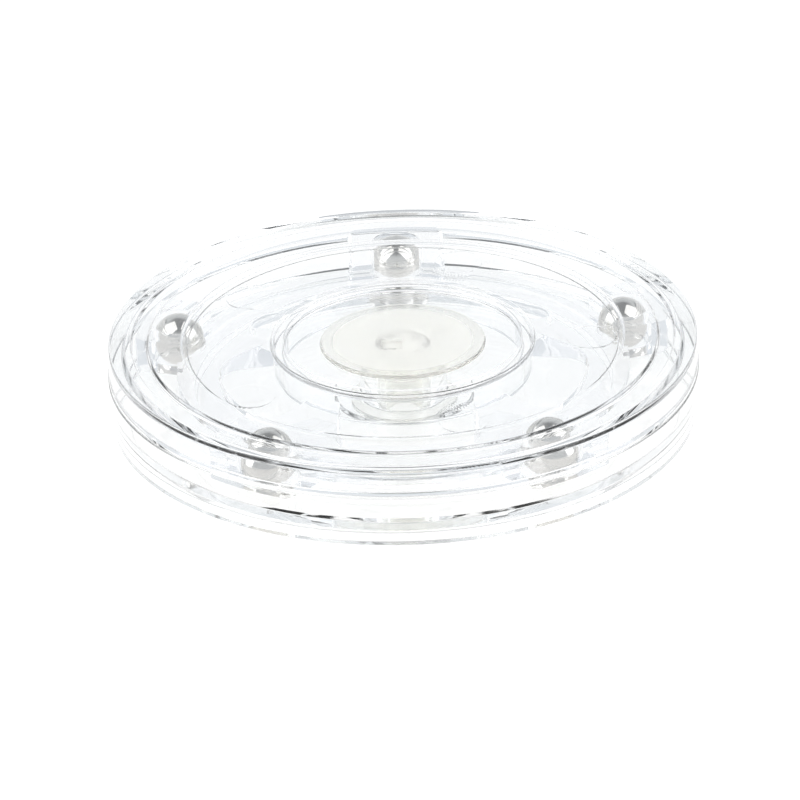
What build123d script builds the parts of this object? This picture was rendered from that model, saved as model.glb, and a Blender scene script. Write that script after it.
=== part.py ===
"""Ball-bearing turntable display stand: two clear round halves, a ball cage, five steel balls and a
snapped-in centre pin. All dimensions in millimetres, +Z up, underside of the base at Z = 0."""
import math
import os

from build123d import *

# ---- overall envelope
BASE_RIM_R = 70.0          # widest radius, at the top of the base wall
BASE_FOOT_R = 69.0         # radius where the base meets the table
TOP_RIM_R = 69.6           # outer radius of the top half
TOTAL_H = 20.0
BASE_H = 12.4              # top of the base wall
PARTING_GAP = 0.5          # air gap between the two halves
EDGE_R = 0.45              # small radius on the moulded outer edges

# ---- rim walls
WALL_INNER_R = 66.0
WALL_DRAFT = 0.4           # the inner wall leans this much over its height

# ---- ball race
BALL_COUNT = 5
BALL_R = 6.0
BALL_CIRCLE_R = 55.6
BALL_CENTRE_Z = 12.0
FIRST_BALL_DEG = 91.0
RACE_CLEARANCE = 0.05      # between each ball and each half
GROOVE_R = 20.0            # shallow groove of the base, much rounder than the ball
GROOVE_HALF_W = 3.2
RACE_STEP_W = 6.2          # the raised race of the base starts this far inside the ball circle

# ---- top half
TOP_UNDER_Z = 17.5         # underside of the deck
TOP_RACE_INNER_R = 51.0    # the flat race is sunk into the underside between these radii
TOP_RACE_OUTER_R = 60.6
DECK_Z = 19.0              # sunken deck between the hub ring and the race
RIM_LAND_INNER_R = 64.4
CHANNEL_Z = 19.4           # shallow channel between the rim land and the race land
RACE_LAND_OUTER_R = 60.2
RACE_LAND_INNER_R = 52.5
STEP_LEAN = 0.4            # draft of every small step on the top face
HUB_OUTER_R = 31.2
HUB_INNER_R = 28.0
HUB_WALL_R = 30.4          # hub wall under the deck, outside
HUB_WALL_BOTTOM_Z = 10.7
HUB_WALL_T = 2.0
HUB_FLOOR_Z = 18.2
HUB_FLOOR_UNDER_Z = 16.4
PIN_BORE_R = 6.55
EJECTOR_R = 5.85           # round ejector pads moulded under the deck
EJECTOR_H = 0.3
EJECTOR_CIRCLE_R = 44.5
EJECTOR_OFFSET_DEG = -19.0

# ---- base half
FLOOR_Z = 4.0
FOOT_RING_INNER_R = 65.0
FOOT_DRAFT = 0.3
FLOOR_UNDER_Z = 2.2        # the base is hollow underneath, inside its foot ring
CENTRE_PAD_R = 16.0
CENTRE_PAD_Z = 4.8
BOSS_R = 10.0
BOSS_TOP_Z = 12.0

# ---- ball cage
CAGE_BOTTOM_Z = 8.0
HOLDER_TOP_Z = 16.3
HOLDER_INNER_R = 52.5
HOLDER_OUTER_R = 64.0
HOLDER_HALF_W = 11.5
HOLDER_CORNER_R = 4.0
POCKET_R = 6.3
WEB_BOTTOM_Z = 9.2         # low web that joins the holders to the spokes
WEB_TOP_Z = 11.4
WEB_OUTER_R = 53.6
WINDOW_OUTER_R = 43.5      # one window between each two spokes, open towards the hub
WINDOW_CORNER_R = 6.5
SPOKE_ROOT_HALF_W = 9.5    # the spokes narrow towards the hub
SPOKE_TIP_HALF_W = 3.4
SPOKE_TIP_R = 31.4
SPOKE_TIP_Z = 16.0         # and rise towards it
SPOKE_ROOT_R = 45.0

# ---- centre pin and its washer
PIN_HEAD_R = 19.6
PIN_HEAD_TOP_Z = 19.1
PIN_HEAD_SEAT_Z = 18.25
PIN_DISH_R = 14.8
PIN_DISH_DEPTH = 0.6
PIN_EDGE_R = 0.4
PIN_SHANK_R = 6.5
PIN_HOLLOW_R = 4.4
PIN_NECK_R = 5.6
PIN_BARB_R = 6.25
PIN_END_Z = 0.4
PIN_HOLLOW_TOP_Z = 16.8
SOCKET_SIDE = 4.8          # small square socket in the head, a little off centre
SOCKET_X = -2.6
SOCKET_Y = -1.0
SOCKET_BOTTOM_Z = 17.8
WASHER_BOTTOM_Z = 0.9
WASHER_TOP_Z = 2.0
WASHER_R = 12.5
WASHER_BORE_R = 5.65


def ball_angle(index):
    return FIRST_BALL_DEG + index * 360.0 / BALL_COUNT


def make_top_plate():
    """Clear upper half: rim, channel, race land, sunken deck, hub ring and hub wall."""
    bottom_z = BASE_H + PARTING_GAP
    race_z = BALL_CENTRE_Z + BALL_R + RACE_CLEARANCE
    upper_face = [
        (TOP_RIM_R, bottom_z),
        (TOP_RIM_R, TOTAL_H),
        (RIM_LAND_INNER_R, TOTAL_H),
        (RIM_LAND_INNER_R - STEP_LEAN, CHANNEL_Z),
        (RACE_LAND_OUTER_R + STEP_LEAN, CHANNEL_Z),
        (RACE_LAND_OUTER_R, TOTAL_H),
        (RACE_LAND_INNER_R, TOTAL_H),
        (RACE_LAND_INNER_R - STEP_LEAN, DECK_Z),
        (HUB_OUTER_R, DECK_Z),
        (HUB_OUTER_R, TOTAL_H),
        (HUB_INNER_R, TOTAL_H),
        (HUB_INNER_R, HUB_FLOOR_Z),
        (PIN_BORE_R, HUB_FLOOR_Z),
        (PIN_BORE_R, HUB_FLOOR_UNDER_Z),
    ]
    under_face = [
        (PIN_BORE_R, HUB_FLOOR_UNDER_Z),
        (HUB_WALL_R - HUB_WALL_T, HUB_FLOOR_UNDER_Z),
        (HUB_WALL_R - HUB_WALL_T, HUB_WALL_BOTTOM_Z),
        (HUB_WALL_R, HUB_WALL_BOTTOM_Z),
        (HUB_WALL_R, TOP_UNDER_Z),
        (TOP_RACE_INNER_R, TOP_UNDER_Z),
        (TOP_RACE_INNER_R, race_z),
        (TOP_RACE_OUTER_R, race_z),
        (TOP_RACE_OUTER_R, TOP_UNDER_Z),
        (WALL_INNER_R, TOP_UNDER_Z),
        (WALL_INNER_R + WALL_DRAFT, bottom_z),
        (TOP_RIM_R, bottom_z),
    ]
    with BuildPart() as top_plate:
        with BuildSketch(Plane.XZ):
            with BuildLine():
                Polyline(*upper_face)
                Polyline(*under_face)
            make_face()
        revolve(axis=Axis.Z)
        top_edges = top_plate.edges().filter_by(GeomType.CIRCLE).group_by(Axis.Z)[-1]
        fillet(top_edges.sort_by(SortBy.RADIUS)[-1], radius=EDGE_R)
        with BuildSketch(Plane.XY.offset(TOP_UNDER_Z - EJECTOR_H)):
            first_pad_deg = FIRST_BALL_DEG + EJECTOR_OFFSET_DEG
            with PolarLocations(EJECTOR_CIRCLE_R, BALL_COUNT, start_angle=first_pad_deg):
                Circle(EJECTOR_R)
        extrude(amount=EJECTOR_H)
    top_plate.part.label = "top_plate"
    export_step(top_plate.part, "parts/top_plate.step")


def make_base_plate():
    """Clear lower half: drafted wall, thin floor, raised race with its groove, centre pad and pin boss."""
    crown_z = BALL_CENTRE_Z - BALL_R - RACE_CLEARANCE
    race_z = crown_z + GROOVE_R - math.sqrt(GROOVE_R ** 2 - GROOVE_HALF_W ** 2)
    outer_edge = (BALL_CIRCLE_R + GROOVE_HALF_W, race_z)
    inner_edge = (BALL_CIRCLE_R - GROOVE_HALF_W, race_z)
    race_inner_r = BALL_CIRCLE_R - RACE_STEP_W
    outside = [
        (BASE_FOOT_R, 0.0),
        (BASE_RIM_R, BASE_H),
        (WALL_INNER_R + WALL_DRAFT, BASE_H),
        (WALL_INNER_R, race_z),
        outer_edge,
    ]
    inside = [
        inner_edge,
        (race_inner_r, race_z),
        (race_inner_r - WALL_DRAFT, FLOOR_Z),
        (CENTRE_PAD_R + WALL_DRAFT, FLOOR_Z),
        (CENTRE_PAD_R, CENTRE_PAD_Z),
        (BOSS_R + WALL_DRAFT, CENTRE_PAD_Z),
        (BOSS_R, BOSS_TOP_Z),
        (PIN_BORE_R, BOSS_TOP_Z),
        (PIN_BORE_R, FLOOR_UNDER_Z),
        (FOOT_RING_INNER_R, FLOOR_UNDER_Z),
        (FOOT_RING_INNER_R + FOOT_DRAFT, 0.0),
        (BASE_FOOT_R, 0.0),
    ]
    with BuildPart() as base_plate:
        with BuildSketch(Plane.XZ):
            with BuildLine():
                Polyline(*outside)
                ThreePointArc(outer_edge, (BALL_CIRCLE_R, crown_z), inner_edge)
                Polyline(*inside)
            make_face()
        revolve(axis=Axis.Z)
        rim_edge = base_plate.edges().filter_by(GeomType.CIRCLE).sort_by(SortBy.RADIUS)[-1]
        fillet(rim_edge, radius=EDGE_R)
    base_plate.part.label = "base_plate"
    export_step(base_plate.part, "parts/base_plate.step")


def make_ball_cage():
    """Clear separator: low web with five rising spokes, and a tall holder with a pocket round every ball."""
    root_deg = 180.0 / BALL_COUNT - math.degrees(math.asin(SPOKE_ROOT_HALF_W / WINDOW_OUTER_R))
    tip_deg = 180.0 / BALL_COUNT - math.degrees(math.asin(SPOKE_TIP_HALF_W / SPOKE_TIP_R))
    root = Vector(WINDOW_OUTER_R, 0, 0).rotate(Axis.Z, root_deg)
    tip = Vector(SPOKE_TIP_R, 0, 0).rotate(Axis.Z, tip_deg)
    root_mirrored = (root.X, -root.Y)
    tip_mirrored = (tip.X, -tip.Y)
    above_web = [
        (SPOKE_TIP_R, SPOKE_TIP_Z),
        (SPOKE_ROOT_R, WEB_TOP_Z),
        (WEB_OUTER_R, WEB_TOP_Z),
        (WEB_OUTER_R, SPOKE_TIP_Z),
    ]
    with BuildSketch(Plane.XY, mode=Mode.PRIVATE) as window:
        with BuildLine():
            Line(tip_mirrored, root_mirrored)
            ThreePointArc(root_mirrored, (WINDOW_OUTER_R, 0), (root.X, root.Y))
            Line((root.X, root.Y), (tip.X, tip.Y))
            Line((tip.X, tip.Y), tip_mirrored)
        make_face()
        fillet(window.vertices().sort_by(Axis.X)[-2:], radius=WINDOW_CORNER_R)
    with BuildPart() as ball_cage:
        with BuildSketch(Plane.XY.offset(WEB_BOTTOM_Z)):
            Circle(WEB_OUTER_R)
            with PolarLocations(0, BALL_COUNT, start_angle=FIRST_BALL_DEG + 180.0 / BALL_COUNT):
                add(window.sketch, mode=Mode.SUBTRACT)
            Circle(SPOKE_TIP_R, mode=Mode.SUBTRACT)
        extrude(amount=SPOKE_TIP_Z - WEB_BOTTOM_Z)
        with BuildSketch(Plane.XZ):
            Polygon(*above_web, align=None)
        revolve(axis=Axis.Z, mode=Mode.SUBTRACT)
        with BuildSketch(Plane.XY.offset(CAGE_BOTTOM_Z)):
            with PolarLocations(BALL_CIRCLE_R, BALL_COUNT, start_angle=FIRST_BALL_DEG):
                RectangleRounded(2 * (HOLDER_OUTER_R - BALL_CIRCLE_R), 2 * HOLDER_HALF_W, HOLDER_CORNER_R)
            Circle(HOLDER_OUTER_R, mode=Mode.INTERSECT)
            Circle(HOLDER_INNER_R, mode=Mode.SUBTRACT)
        extrude(amount=HOLDER_TOP_Z - CAGE_BOTTOM_Z)
        with BuildSketch(Plane.XY.offset(CAGE_BOTTOM_Z)):
            with PolarLocations(BALL_CIRCLE_R, BALL_COUNT, start_angle=FIRST_BALL_DEG):
                Circle(POCKET_R)
        extrude(amount=HOLDER_TOP_Z - CAGE_BOTTOM_Z, mode=Mode.SUBTRACT)
    ball_cage.part.label = "ball_cage"
    export_step(ball_cage.part, "parts/ball_cage.step")


def make_ball(index):
    """One steel ball, at its place in the cage."""
    angle = math.radians(ball_angle(index))
    place = (BALL_CIRCLE_R * math.cos(angle), BALL_CIRCLE_R * math.sin(angle), BALL_CENTRE_Z)
    with BuildPart() as ball:
        with Locations(place):
            Sphere(BALL_R)
    ball.part.label = f"ball_{index + 1}"
    export_step(ball.part, f"parts/ball_{index + 1}.step")


def make_centre_pin():
    """Milky pivot pin: wide dished head with a square socket, hollow shank and barbed end."""
    dish_sphere_r = (PIN_DISH_R ** 2 + PIN_DISH_DEPTH ** 2) / (2 * PIN_DISH_DEPTH)
    dish_bottom = (0.0, PIN_HEAD_TOP_Z - PIN_DISH_DEPTH)
    dish_half_way_rise = dish_sphere_r - math.sqrt(dish_sphere_r ** 2 - PIN_DISH_R ** 2 / 4)
    dish_half_way = (PIN_DISH_R / 2, dish_bottom[1] + dish_half_way_rise)
    dish_edge = (PIN_DISH_R, PIN_HEAD_TOP_Z)
    profile = [
        dish_edge,
        (PIN_HEAD_R - PIN_EDGE_R, PIN_HEAD_TOP_Z),
        (PIN_HEAD_R, PIN_HEAD_TOP_Z - PIN_EDGE_R),
        (PIN_HEAD_R, PIN_HEAD_SEAT_Z),
        (PIN_SHANK_R, PIN_HEAD_SEAT_Z),
        (PIN_SHANK_R, WASHER_TOP_Z),
        (PIN_NECK_R, WASHER_TOP_Z),
        (PIN_NECK_R, WASHER_BOTTOM_Z),
        (PIN_BARB_R, WASHER_BOTTOM_Z),
        (PIN_NECK_R, PIN_END_Z),
        (PIN_HOLLOW_R, PIN_END_Z),
        (PIN_HOLLOW_R, PIN_HOLLOW_TOP_Z),
        (0.0, PIN_HOLLOW_TOP_Z),
        dish_bottom,
    ]
    with BuildPart() as centre_pin:
        with BuildSketch(Plane.XZ):
            with BuildLine():
                ThreePointArc(dish_bottom, dish_half_way, dish_edge)
                Polyline(*profile)
            make_face()
        revolve(axis=Axis.Z)
        with BuildSketch(Plane.XY.offset(SOCKET_BOTTOM_Z)):
            with Locations((SOCKET_X, SOCKET_Y)):
                Rectangle(SOCKET_SIDE, SOCKET_SIDE)
        extrude(amount=PIN_HEAD_TOP_Z - SOCKET_BOTTOM_Z, mode=Mode.SUBTRACT)
    centre_pin.part.label = "centre_pin"
    export_step(centre_pin.part, "parts/centre_pin.step")


def make_retaining_washer():
    """Milky washer snapped on the end of the pin, under the floor of the base."""
    with BuildPart() as retaining_washer:
        with BuildSketch(Plane.XY.offset(WASHER_BOTTOM_Z)):
            Circle(WASHER_R)
            Circle(WASHER_BORE_R, mode=Mode.SUBTRACT)
        extrude(amount=WASHER_TOP_Z - WASHER_BOTTOM_Z)
    retaining_washer.part.label = "retaining_washer"
    export_step(retaining_washer.part, "parts/retaining_washer.step")


os.makedirs("parts", exist_ok=True)
make_base_plate()
make_top_plate()
make_ball_cage()
for ball_index in range(BALL_COUNT):
    make_ball(ball_index)
make_centre_pin()
make_retaining_washer()
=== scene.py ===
"""Looks of a clear ball-bearing turntable display stand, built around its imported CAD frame. Metres, +Z up."""

import math

import bmesh
import bpy
from mathutils import Matrix, Vector


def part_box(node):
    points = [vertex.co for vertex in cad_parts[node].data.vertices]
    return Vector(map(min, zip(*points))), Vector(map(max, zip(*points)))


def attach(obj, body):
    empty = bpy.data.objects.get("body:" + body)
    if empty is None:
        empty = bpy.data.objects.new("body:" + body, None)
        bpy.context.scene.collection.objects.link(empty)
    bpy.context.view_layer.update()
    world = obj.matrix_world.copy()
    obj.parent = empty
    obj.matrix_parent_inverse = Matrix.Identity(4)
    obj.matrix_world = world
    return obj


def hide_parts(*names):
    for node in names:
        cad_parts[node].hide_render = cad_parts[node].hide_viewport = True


MM = 0.001
LATHE_STEPS = 288
ARC_STEPS = 5

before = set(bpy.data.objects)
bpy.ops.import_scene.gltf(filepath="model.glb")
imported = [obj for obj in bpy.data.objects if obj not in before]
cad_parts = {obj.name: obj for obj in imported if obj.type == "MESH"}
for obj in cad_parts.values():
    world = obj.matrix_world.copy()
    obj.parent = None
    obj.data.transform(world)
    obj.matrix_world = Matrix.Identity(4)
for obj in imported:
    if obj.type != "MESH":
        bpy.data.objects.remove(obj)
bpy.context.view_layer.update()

# ---- the boxes that sizes are read from
base_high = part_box("base_plate")[1]
top_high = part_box("top_plate")[1]
pin_low, pin_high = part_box("centre_pin")

# ---- sizes in millimetres, read from the frame where its boxes show them
BASE_RIM_R = base_high.x / MM
BASE_FOOT_R = 69.0
TOP_RIM_R = top_high.x / MM
TOTAL_H = top_high.z / MM
BASE_H = 12.4
TOP_BOTTOM_Z = BASE_H + 0.5
WALL_INNER_R = 66.0
WALL_MOUTH_R = 66.4           # inner wall where the two halves meet
DECK_Z = 19.0
BALL_COUNT = 5
BALL_R = 6.0
BALL_CIRCLE_R = 55.6
BALL_CENTRE_Z = 12.0
RACE_CLEARANCE = 0.05
FIRST_BALL_DEG = 91.0
GROOVE_R = 20.0
GROOVE_HALF_W = 3.2
RACE_STEP_W = 6.2              # from the ball circle to the inner step of the raised race
FLOOR_Z = 4.0
FLOOR_UNDER_Z = 2.2
BOSS_TOP_Z = 12.0
TOP_UNDER_Z = 17.5
PIN_BORE_R = 6.55
HUB_FLOOR_Z = 18.2
HUB_FLOOR_UNDER_Z = 16.4
HUB_WALL_BOTTOM_Z = 10.7
CHANNEL_Z = 19.4
TOP_RACE_Z = 18.05
TOP_RACE_INNER_R = 51.0
TOP_RACE_OUTER_R = 60.6
WASHER_BOTTOM_Z = 0.9
WASHER_TOP_Z = 2.0
WASHER_R = 12.5
WASHER_BORE_R = 5.65
SOCKET_SIZE = (4.8, 4.8, 2.0)   # the cutter stands out above the head
SOCKET_CENTRE = (-2.6, -1.0, 18.8)
EJECTOR_R = 5.85
EJECTOR_H = 0.3
EJECTOR_CIRCLE_R = 44.5
EJECTOR_OFFSET_DEG = -19.0


# ---- mesh helpers
def corner(r, z, radius=0.25):
    """A profile point with the radius that the mould leaves on it."""
    return (r, z, radius)


def rounded(points):
    """Closed (r, z, radius) loop -> closed (r, z) loop with its corners turned into arcs."""
    out = []
    count = len(points)
    for i, (r, z, radius) in enumerate(points):
        here = Vector((r, z))
        before = Vector(points[i - 1][:2]) - here
        after = Vector(points[(i + 1) % count][:2]) - here
        if radius <= 0 or before.length < 1e-6 or after.length < 1e-6:
            out.append((r, z))
            continue
        angle = before.angle(after)
        if angle > math.radians(170):
            out.append((r, z))
            continue
        reach = min(radius / math.tan(angle / 2), 0.42 * before.length, 0.42 * after.length)
        start = here + before.normalized() * reach
        end = here + after.normalized() * reach
        for k in range(ARC_STEPS + 1):
            t = k / ARC_STEPS
            point = start * (1 - t) ** 2 + here * 2 * t * (1 - t) + end * t ** 2
            out.append((point.x, point.y))
    return out


def finish_mesh(mesh, name):
    """Smooth shading with wide faces kept flat, so that light bends only at real curves."""
    for polygon in mesh.polygons:
        polygon.use_smooth = True
    piece = bpy.data.objects.new(name, mesh)
    bpy.context.scene.collection.objects.link(piece)
    weighted = piece.modifiers.new("wide faces stay flat", "WEIGHTED_NORMAL")
    weighted.mode = "FACE_AREA"
    weighted.weight = 100
    return piece


def lathe(name, points, steps=LATHE_STEPS):
    """Closed solid of revolution from a closed (r, z, radius) loop in millimetres."""
    loop = rounded(points)
    bm = bmesh.new()
    rings = []
    for r, z in loop:
        if r < 1e-6:
            rings.append([bm.verts.new((0, 0, z * MM))])
            continue
        ring = []
        for k in range(steps):
            a = 2 * math.pi * k / steps
            ring.append(bm.verts.new((r * math.cos(a) * MM, r * math.sin(a) * MM, z * MM)))
        rings.append(ring)
    for i, ring in enumerate(rings):
        following = rings[(i + 1) % len(rings)]
        for k in range(steps):
            j = (k + 1) % steps
            if len(ring) == 1 and len(following) == 1:
                break
            if len(ring) == 1:
                bm.faces.new((ring[0], following[k], following[j]))
            elif len(following) == 1:
                bm.faces.new((ring[k], following[0], ring[j]))
            else:
                bm.faces.new((ring[k], following[k], following[j], ring[j]))
    bmesh.ops.recalc_face_normals(bm, faces=bm.faces)
    mesh = bpy.data.meshes.new(name)
    bm.to_mesh(mesh)
    bm.free()
    return finish_mesh(mesh, name)


def base_groove(steps=14):
    """Points of the shallow ball groove in the base, inner edge first."""
    crown = BALL_CENTRE_Z - BALL_R - RACE_CLEARANCE
    reach = math.asin(GROOVE_HALF_W / GROOVE_R)
    points = []
    for k in range(steps + 1):
        a = reach * (2 * k / steps - 1)
        points.append((BALL_CIRCLE_R + GROOVE_R * math.sin(a), crown + GROOVE_R * (1 - math.cos(a)), 0.0))
    return points


# ---- materials
def new_material(name):
    material = bpy.data.materials.new(name)
    material.use_nodes = True
    nodes = material.node_tree.nodes
    return material, nodes, material.node_tree.links, nodes["Principled BSDF"]


def noise(nodes, links, scale, detail=3.0, roughness=0.5):
    coordinates = nodes.new("ShaderNodeTexCoord")
    texture = nodes.new("ShaderNodeTexNoise")
    texture.inputs["Scale"].default_value = scale
    texture.inputs["Detail"].default_value = detail
    texture.inputs["Roughness"].default_value = roughness
    links.new(coordinates.outputs["Object"], texture.inputs["Vector"])
    return texture


def ramp(nodes, links, source, low, high, start=0.3, end=0.7):
    """Colour ramp between two colours driven by a grey output."""
    blend = nodes.new("ShaderNodeValToRGB")
    blend.color_ramp.elements[0].position = start
    blend.color_ramp.elements[1].position = end
    blend.color_ramp.elements[0].color = (*low, 1)
    blend.color_ramp.elements[1].color = (*high, 1)
    links.new(source, blend.inputs["Fac"])
    return blend


def bump(nodes, links, shader, height, strength, distance):
    relief = nodes.new("ShaderNodeBump")
    relief.inputs["Strength"].default_value = strength
    relief.inputs["Distance"].default_value = distance
    links.new(height, relief.inputs["Height"])
    links.new(relief.outputs["Normal"], shader.inputs["Normal"])


def clear_plastic(name, tint_low, tint_high, wave, ior=1.49):
    """Moulded clear plastic: faint tint drift, flow waviness and a few hazy spots."""
    material, nodes, links, shader = new_material(name)
    shader.inputs["IOR"].default_value = ior
    shader.inputs["Transmission Weight"].default_value = 1.0
    drift = noise(nodes, links, 14.0, 2.0)
    tint = ramp(nodes, links, drift.outputs["Fac"], tint_low, tint_high)
    links.new(tint.outputs["Color"], shader.inputs["Base Color"])
    haze = noise(nodes, links, 60.0, 4.0)
    haze_range = nodes.new("ShaderNodeMapRange")
    haze_range.inputs["From Min"].default_value = 0.45
    haze_range.inputs["From Max"].default_value = 0.8
    haze_range.inputs["To Min"].default_value = 0.0
    haze_range.inputs["To Max"].default_value = 0.05
    links.new(haze.outputs["Fac"], haze_range.inputs["Value"])
    links.new(haze_range.outputs["Result"], shader.inputs["Roughness"])
    flow = noise(nodes, links, 22.0, 1.5)
    bump(nodes, links, shader, flow.outputs["Fac"], wave, 0.001)
    return material


def ball_steel():
    """Polished bearing steel with fine rolling marks."""
    material, nodes, links, shader = new_material("ball_steel_polished")
    shader.inputs["Metallic"].default_value = 1.0
    cloud = noise(nodes, links, 90.0, 4.0)
    tint = ramp(nodes, links, cloud.outputs["Fac"], (0.62, 0.605, 0.578), (0.72, 0.703, 0.672))
    links.new(tint.outputs["Color"], shader.inputs["Base Color"])
    marks = noise(nodes, links, 900.0, 3.0)
    rough = nodes.new("ShaderNodeMapRange")
    rough.inputs["To Min"].default_value = 0.02
    rough.inputs["To Max"].default_value = 0.07
    links.new(marks.outputs["Fac"], rough.inputs["Value"])
    links.new(rough.outputs["Result"], shader.inputs["Roughness"])
    bump(nodes, links, shader, marks.outputs["Fac"], 0.03, 0.0002)
    return material


def fade(nodes, links, source, start, end, low, high):
    """Soft step of a value from low to high while the source goes from start to end."""
    step = nodes.new("ShaderNodeMapRange")
    step.interpolation_type = "SMOOTHSTEP"
    step.inputs["From Min"].default_value = start
    step.inputs["From Max"].default_value = end
    step.inputs["To Min"].default_value = low
    step.inputs["To Max"].default_value = high
    links.new(source, step.inputs["Value"])
    return step.outputs["Result"]


def milky_plastic():
    """Natural polypropylene: cream and cloudy in the head, clearer in its thin rim and in the shank."""
    material, nodes, links, shader = new_material("milky_natural")
    shader.inputs["IOR"].default_value = 1.35
    cloud = noise(nodes, links, 120.0, 4.0)
    tint = ramp(nodes, links, cloud.outputs["Fac"], (0.955, 0.948, 0.915), (0.972, 0.968, 0.942))
    links.new(tint.outputs["Color"], shader.inputs["Base Color"])
    coordinates = nodes.new("ShaderNodeTexCoord")
    flat = nodes.new("ShaderNodeVectorMath")
    flat.operation = "MULTIPLY"
    flat.inputs[1].default_value = (1, 1, 0)
    links.new(coordinates.outputs["Object"], flat.inputs[0])
    radius = nodes.new("ShaderNodeVectorMath")
    radius.operation = "LENGTH"
    links.new(flat.outputs["Vector"], radius.inputs[0])
    axes = nodes.new("ShaderNodeSeparateXYZ")
    links.new(coordinates.outputs["Object"], axes.inputs["Vector"])
    rim = fade(nodes, links, radius.outputs["Value"], 15.4 * MM, 17.6 * MM, 0.0, 1.0)
    shank = fade(nodes, links, axes.outputs["Z"], 18.1 * MM, 17.0 * MM, 0.0, 1.0)
    thin = nodes.new("ShaderNodeMath")
    thin.operation = "MAXIMUM"
    links.new(rim, thin.inputs[0])
    links.new(shank, thin.inputs[1])
    clearness = fade(nodes, links, thin.outputs["Value"], 0.0, 1.0, 0.6, 0.96)
    links.new(clearness, shader.inputs["Transmission Weight"])
    polish = fade(nodes, links, thin.outputs["Value"], 0.0, 1.0, 0.34, 0.12)
    rough = nodes.new("ShaderNodeMath")
    rough.operation = "MULTIPLY_ADD"
    rough.inputs[1].default_value = 0.12
    links.new(cloud.outputs["Fac"], rough.inputs[0])
    links.new(polish, rough.inputs[2])
    links.new(rough.outputs["Value"], shader.inputs["Roughness"])
    grain = noise(nodes, links, 1500.0, 2.0)
    bump(nodes, links, shader, grain.outputs["Fac"], 0.06, 0.0002)
    return material


def dress(piece, material, body, node):
    piece.data.materials.append(material)
    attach(piece, body)
    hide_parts(node)


CLEAR_TOP = clear_plastic("clear_plastic_top", (0.974, 0.981, 0.987), (0.983, 0.989, 0.993), 0.02)
CLEAR_BASE = clear_plastic("clear_plastic_base", (0.975, 0.98, 0.974), (0.986, 0.988, 0.982), 0.02)
CAGE_CLEAR = clear_plastic("cage_plastic", (0.965, 0.968, 0.978), (0.98, 0.982, 0.99), 0.04, 1.12)
STEEL = ball_steel()
MILKY = milky_plastic()


# ---- pieces
def combine(piece, bm, operation):
    """Join the solids in bm to the piece, or cut them out of it, for good."""
    mesh = bpy.data.meshes.new("tool")
    bm.to_mesh(mesh)
    bm.free()
    tool = bpy.data.objects.new("tool", mesh)
    bpy.context.scene.collection.objects.link(tool)
    weighted = piece.modifiers[0]
    weighted.show_viewport = False
    boolean = piece.modifiers.new("combine", "BOOLEAN")
    boolean.operation = operation
    boolean.solver = "EXACT"
    boolean.object = tool
    piece.data = bpy.data.meshes.new_from_object(piece.evaluated_get(bpy.context.evaluated_depsgraph_get()))
    piece.modifiers.remove(boolean)
    weighted.show_viewport = True
    bpy.data.objects.remove(tool)


def add_ejector_pads(plate):
    """The five round pads that the mould leaves on the underside of the deck."""
    bm = bmesh.new()
    for index in range(BALL_COUNT):
        angle = math.radians(FIRST_BALL_DEG + EJECTOR_OFFSET_DEG + 360 / BALL_COUNT * index)
        x = EJECTOR_CIRCLE_R * math.cos(angle)
        y = EJECTOR_CIRCLE_R * math.sin(angle)
        place = Vector((x, y, TOP_UNDER_Z)) * MM
        bmesh.ops.create_cone(
            bm, cap_ends=True, segments=96, radius1=(EJECTOR_R - 0.1) * MM, radius2=(EJECTOR_R + 0.1) * MM,
            depth=2 * EJECTOR_H * MM, matrix=Matrix.Translation(place))
    combine(plate, bm, "UNION")


def make_top_half():
    """Clear upper half: rim, channel, race land, sunken deck, hub ring and hub wall."""
    points = [
        corner(TOP_RIM_R, TOP_BOTTOM_Z, 0.3),
        corner(TOP_RIM_R, TOTAL_H, 0.45),
        corner(64.4, TOTAL_H, 0.3),
        corner(64.0, CHANNEL_Z, 0.3),
        corner(60.6, CHANNEL_Z, 0.3),
        corner(60.2, TOTAL_H, 0.3),
        corner(52.5, TOTAL_H, 0.3),
        corner(52.1, DECK_Z, 0.4),
        corner(31.2, DECK_Z, 0.4),
        corner(31.2, TOTAL_H, 0.3),
        corner(28.0, TOTAL_H, 0.3),
        corner(28.0, HUB_FLOOR_Z, 0.4),
        corner(PIN_BORE_R, HUB_FLOOR_Z, 0.1),
        corner(PIN_BORE_R, HUB_FLOOR_UNDER_Z, 0.1),
        corner(28.4, HUB_FLOOR_UNDER_Z, 0.4),
        corner(28.4, HUB_WALL_BOTTOM_Z, 0.3),
        corner(30.4, HUB_WALL_BOTTOM_Z, 0.3),
        corner(30.4, TOP_UNDER_Z, 0.4),
        corner(TOP_RACE_INNER_R, TOP_UNDER_Z, 0.2),
        corner(TOP_RACE_INNER_R, TOP_RACE_Z, 0.2),
        corner(TOP_RACE_OUTER_R, TOP_RACE_Z, 0.2),
        corner(TOP_RACE_OUTER_R, TOP_UNDER_Z, 0.2),
        corner(WALL_INNER_R, TOP_UNDER_Z, 0.4),
        corner(WALL_MOUTH_R, TOP_BOTTOM_Z, 0.25),
    ]
    plate = lathe("top_half", points)
    add_ejector_pads(plate)
    dress(plate, CLEAR_TOP, "top", "top_plate")


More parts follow.
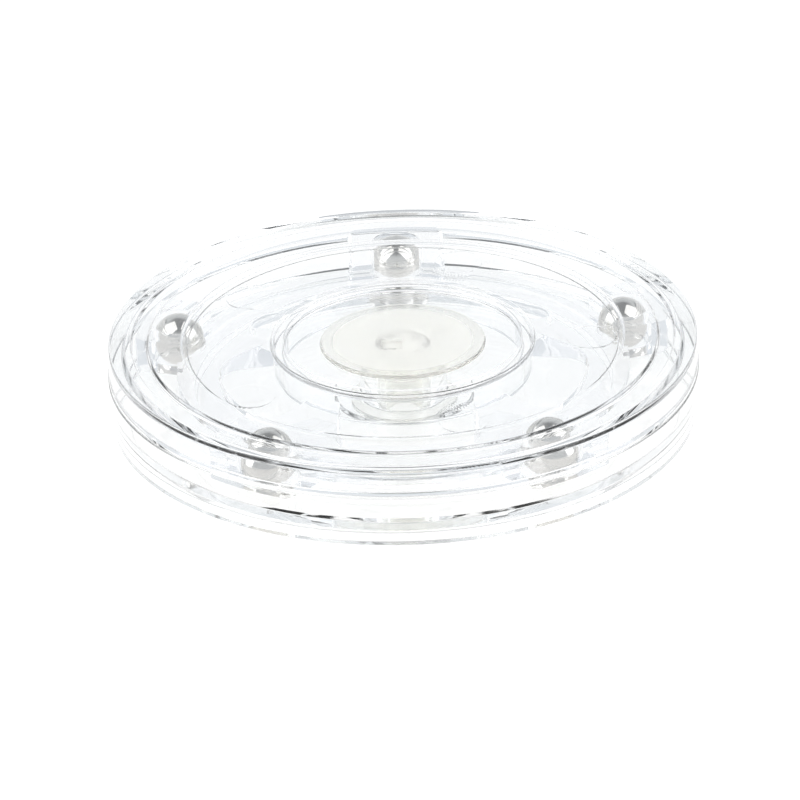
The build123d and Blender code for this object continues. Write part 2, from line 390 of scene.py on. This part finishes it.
def make_base_half():
    """Clear lower half: drafted wall, raised race with its groove, thin floor, pad and boss."""
    race = base_groove()
    race_z = race[0][1]
    race_inner_r = BALL_CIRCLE_R - RACE_STEP_W
    points = [
        corner(BASE_FOOT_R, 0.0, 0.3),
        corner(BASE_RIM_R, BASE_H, 0.45),
        corner(WALL_MOUTH_R, BASE_H, 0.3),
        corner(WALL_INNER_R, race_z, 0.6),
        *reversed(race),
        corner(race_inner_r, race_z, 0.3),
        corner(race_inner_r - 0.4, FLOOR_Z, 0.3),
        corner(16.4, FLOOR_Z, 0.4),
        corner(16.0, 4.8, 0.3),
        corner(10.4, 4.8, 0.4),
        corner(10.0, BOSS_TOP_Z, 0.3),
        corner(PIN_BORE_R, BOSS_TOP_Z, 0.1),
        corner(PIN_BORE_R, FLOOR_UNDER_Z, 0.1),
        corner(65.0, FLOOR_UNDER_Z, 0.4),
        corner(65.3, 0.0, 0.2),
    ]
    dress(lathe("base_half", points), CLEAR_BASE, "base", "base_plate")


def make_centre_pin():
    """Pin with a wide dished head, a square socket in it, a hollow shank and a barbed end."""
    dish_r, dish_depth, dish_steps = 14.8, 0.6, 12
    head_r, seat_z = 19.6, 18.25
    shank_r, neck_r, hollow_r, hollow_top_z = 6.5, 5.6, 4.4, 16.8
    top = pin_high.z / MM
    end = pin_low.z / MM
    dish = []
    for k in range(dish_steps + 1):
        part = k / dish_steps
        dish.append((dish_r * part, top - dish_depth * (1 - part ** 2), 0.0))
    points = [
        *dish,
        corner(head_r - 0.4, top, 0.5),
        corner(head_r, top - 0.4, 0.3),
        corner(head_r, seat_z, 0.2),
        corner(shank_r, seat_z, 0.2),
        corner(shank_r, WASHER_TOP_Z, 0.1),
        corner(neck_r, WASHER_TOP_Z, 0.1),
        corner(neck_r, WASHER_BOTTOM_Z, 0.1),
        corner(6.25, WASHER_BOTTOM_Z, 0.1),
        corner(neck_r, end, 0.1),
        corner(hollow_r, end, 0.2),
        corner(hollow_r, hollow_top_z, 0.3),
        corner(0.0, hollow_top_z, 0),
    ]
    pin = lathe("pin_with_head", points)
    bm = bmesh.new()
    bmesh.ops.create_cube(bm, size=1.0)
    bmesh.ops.scale(bm, verts=bm.verts, vec=Vector(SOCKET_SIZE) * MM)
    bmesh.ops.translate(bm, verts=bm.verts, vec=Vector(SOCKET_CENTRE) * MM)
    combine(pin, bm, "DIFFERENCE")
    dress(pin, MILKY, "top", "centre_pin")


def make_washer():
    """Snap washer on the end of the pin, under the floor of the base."""
    points = [
        corner(WASHER_R, WASHER_BOTTOM_Z),
        corner(WASHER_R, WASHER_TOP_Z),
        corner(WASHER_BORE_R, WASHER_TOP_Z),
        corner(WASHER_BORE_R, WASHER_BOTTOM_Z),
    ]
    dress(lathe("snap_washer", points), MILKY, "top", "retaining_washer")


def make_balls():
    """Polished balls, each at the middle of its CAD node's box."""
    for index in range(BALL_COUNT):
        name = f"ball_{index + 1}"
        low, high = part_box(name)
        bm = bmesh.new()
        bmesh.ops.create_icosphere(bm, subdivisions=6, radius=BALL_R * MM)
        bmesh.ops.translate(bm, verts=bm.verts, vec=(low + high) / 2)
        mesh = bpy.data.meshes.new(name + "_polished")
        bm.to_mesh(mesh)
        bm.free()
        for polygon in mesh.polygons:
            polygon.use_smooth = True
        ball = bpy.data.objects.new(name + "_polished", mesh)
        bpy.context.scene.collection.objects.link(ball)
        dress(ball, STEEL, name, name)


def make_cage():
    """The CAD cage as it is, with its own plastic and small mould radii on its edges."""
    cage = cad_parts["ball_cage"]
    cage.data.materials.clear()
    cage.data.materials.append(CAGE_CLEAR)
    weld = cage.modifiers.new("weld", "WELD")
    weld.merge_threshold = 0.000005
    edges = cage.modifiers.new("mould radius", "BEVEL")
    edges.width = 0.0003
    edges.segments = 3
    edges.limit_method = "ANGLE"
    edges.angle_limit = math.radians(35)
    weighted = cage.modifiers.new("wide faces stay flat", "WEIGHTED_NORMAL")
    weighted.weight = 100
    for polygon in cage.data.polygons:
        polygon.use_smooth = True


make_top_half()
make_base_half()
make_centre_pin()
make_washer()
make_balls()
make_cage()


# ---- stage, light and camera
SOFTBOX_RADIANCE = 1.55
WORLD_DIM = (0.75, 0.78, 0.81)
WORLD_BRIGHT = (0.96, 0.975, 0.99)
WORLD_CEILING = (0.17, 0.175, 0.18)


def make_floor():
    """Plain white floor that glows enough to stay white under the clear plastic."""
    mesh = bpy.data.meshes.new("floor")
    size = 6.0
    corners = [(-size, -size, 0), (size, -size, 0), (size, size, 0), (-size, size, 0)]
    mesh.from_pydata(corners, [], [(0, 1, 2, 3)])
    floor = bpy.data.objects.new("floor", mesh)
    bpy.context.scene.collection.objects.link(floor)
    floor.location.z = -0.0002
    material, nodes, links, shader = new_material("floor_white")
    shader.inputs["Base Color"].default_value = (0.08, 0.08, 0.08, 1)
    shader.inputs["Roughness"].default_value = 0.9
    shader.inputs["Specular IOR Level"].default_value = 0.0
    shader.inputs["Emission Color"].default_value = (1, 1, 1, 1)
    shader.inputs["Emission Strength"].default_value = 1.03
    mesh.materials.append(material)


def make_softbox(name, side):
    """Large softbox on one side, tilted over the object; side is -1 on the left and 1 on the right."""
    width, length = 1.65, 1.0
    light = bpy.data.lights.new(name, "AREA")
    light.shape = "RECTANGLE"
    light.size = width
    light.size_y = length
    light.energy = SOFTBOX_RADIANCE * math.pi * width * length
    facing = Vector((side, 0, 1)).normalized()
    along = Vector((-side, 0, 1)).normalized()
    lamp = bpy.data.objects.new(name, light)
    lamp.location = facing - 0.15 * along + Vector((0, -0.2, 0))
    swing = Matrix.Rotation(math.radians(-12 * side), 3, facing)
    across = swing @ along
    lamp.rotation_euler = Matrix((across, facing.cross(across), facing)).transposed().to_euler()
    bpy.context.scene.collection.objects.link(lamp)


def make_world():
    """White sweep all round near the floor except behind the camera, dimmer above it, with a dark ceiling."""
    world = bpy.data.worlds.new("studio")
    world.use_nodes = True
    nodes, links = world.node_tree.nodes, world.node_tree.links
    coordinates = nodes.new("ShaderNodeTexCoord")
    axes = nodes.new("ShaderNodeSeparateXYZ")
    links.new(coordinates.outputs["Generated"], axes.inputs["Vector"])
    low = nodes.new("ShaderNodeMapRange")
    low.interpolation_type = "SMOOTHSTEP"
    low.inputs["From Min"].default_value = 0.42
    low.inputs["From Max"].default_value = 0.1
    links.new(axes.outputs["Z"], low.inputs["Value"])
    behind = nodes.new("ShaderNodeMapRange")
    behind.interpolation_type = "SMOOTHSTEP"
    behind.inputs["From Min"].default_value = -0.9
    behind.inputs["From Max"].default_value = 0.1
    links.new(axes.outputs["Y"], behind.inputs["Value"])
    sweep = nodes.new("ShaderNodeMath")
    sweep.operation = "MULTIPLY"
    links.new(low.outputs["Result"], sweep.inputs[0])
    links.new(behind.outputs["Result"], sweep.inputs[1])
    shade = ramp(nodes, links, sweep.outputs["Value"], WORLD_DIM, WORLD_BRIGHT, 0.0, 1.0)
    ceiling = nodes.new("ShaderNodeMapRange")
    ceiling.interpolation_type = "SMOOTHSTEP"
    ceiling.inputs["From Min"].default_value = 0.6
    ceiling.inputs["From Max"].default_value = 0.9
    links.new(axes.outputs["Z"], ceiling.inputs["Value"])
    overhead = nodes.new("ShaderNodeMixRGB")
    overhead.inputs["Color2"].default_value = (*WORLD_CEILING, 1)
    links.new(ceiling.outputs["Result"], overhead.inputs["Fac"])
    links.new(shade.outputs["Color"], overhead.inputs["Color1"])
    links.new(overhead.outputs["Color"], nodes["Background"].inputs["Color"])
    bpy.context.scene.world = world


def make_camera():
    """Long lens from in front and above, rolled slightly."""
    elevation, roll = math.radians(26.25), math.radians(1.67)
    pan, tilt = math.radians(0.0235), math.radians(-0.335)
    distance = 2.576
    camera = bpy.data.cameras.new("camera")
    camera.sensor_width = 36.0
    camera.lens = 490.6
    camera.clip_end = 50.0
    eye = bpy.data.objects.new("camera", camera)
    height = Vector((0, 0, TOTAL_H * MM))
    eye.location = height + Vector((0, -math.cos(elevation), math.sin(elevation))) * distance
    look = Matrix.Rotation(math.pi / 2 - elevation, 3, "X") @ Matrix.Rotation(pan, 3, "Y")
    look = look @ Matrix.Rotation(tilt, 3, "X") @ Matrix.Rotation(-roll, 3, "Z")
    eye.rotation_euler = look.to_euler()
    bpy.context.scene.collection.objects.link(eye)
    bpy.context.scene.camera = eye


make_floor()
make_world()
make_softbox("softbox_left", -1)
make_softbox("softbox_right", 1)
make_camera()

scene = bpy.context.scene
scene.view_settings.view_transform = "Standard"
scene.cycles.use_denoising = True
scene.cycles.max_bounces = 32
scene.cycles.transmission_bounces = 32
scene.cycles.glossy_bounces = 16
scene.cycles.transparent_max_bounces = 32
scene.cycles.blur_glossy = 0.0
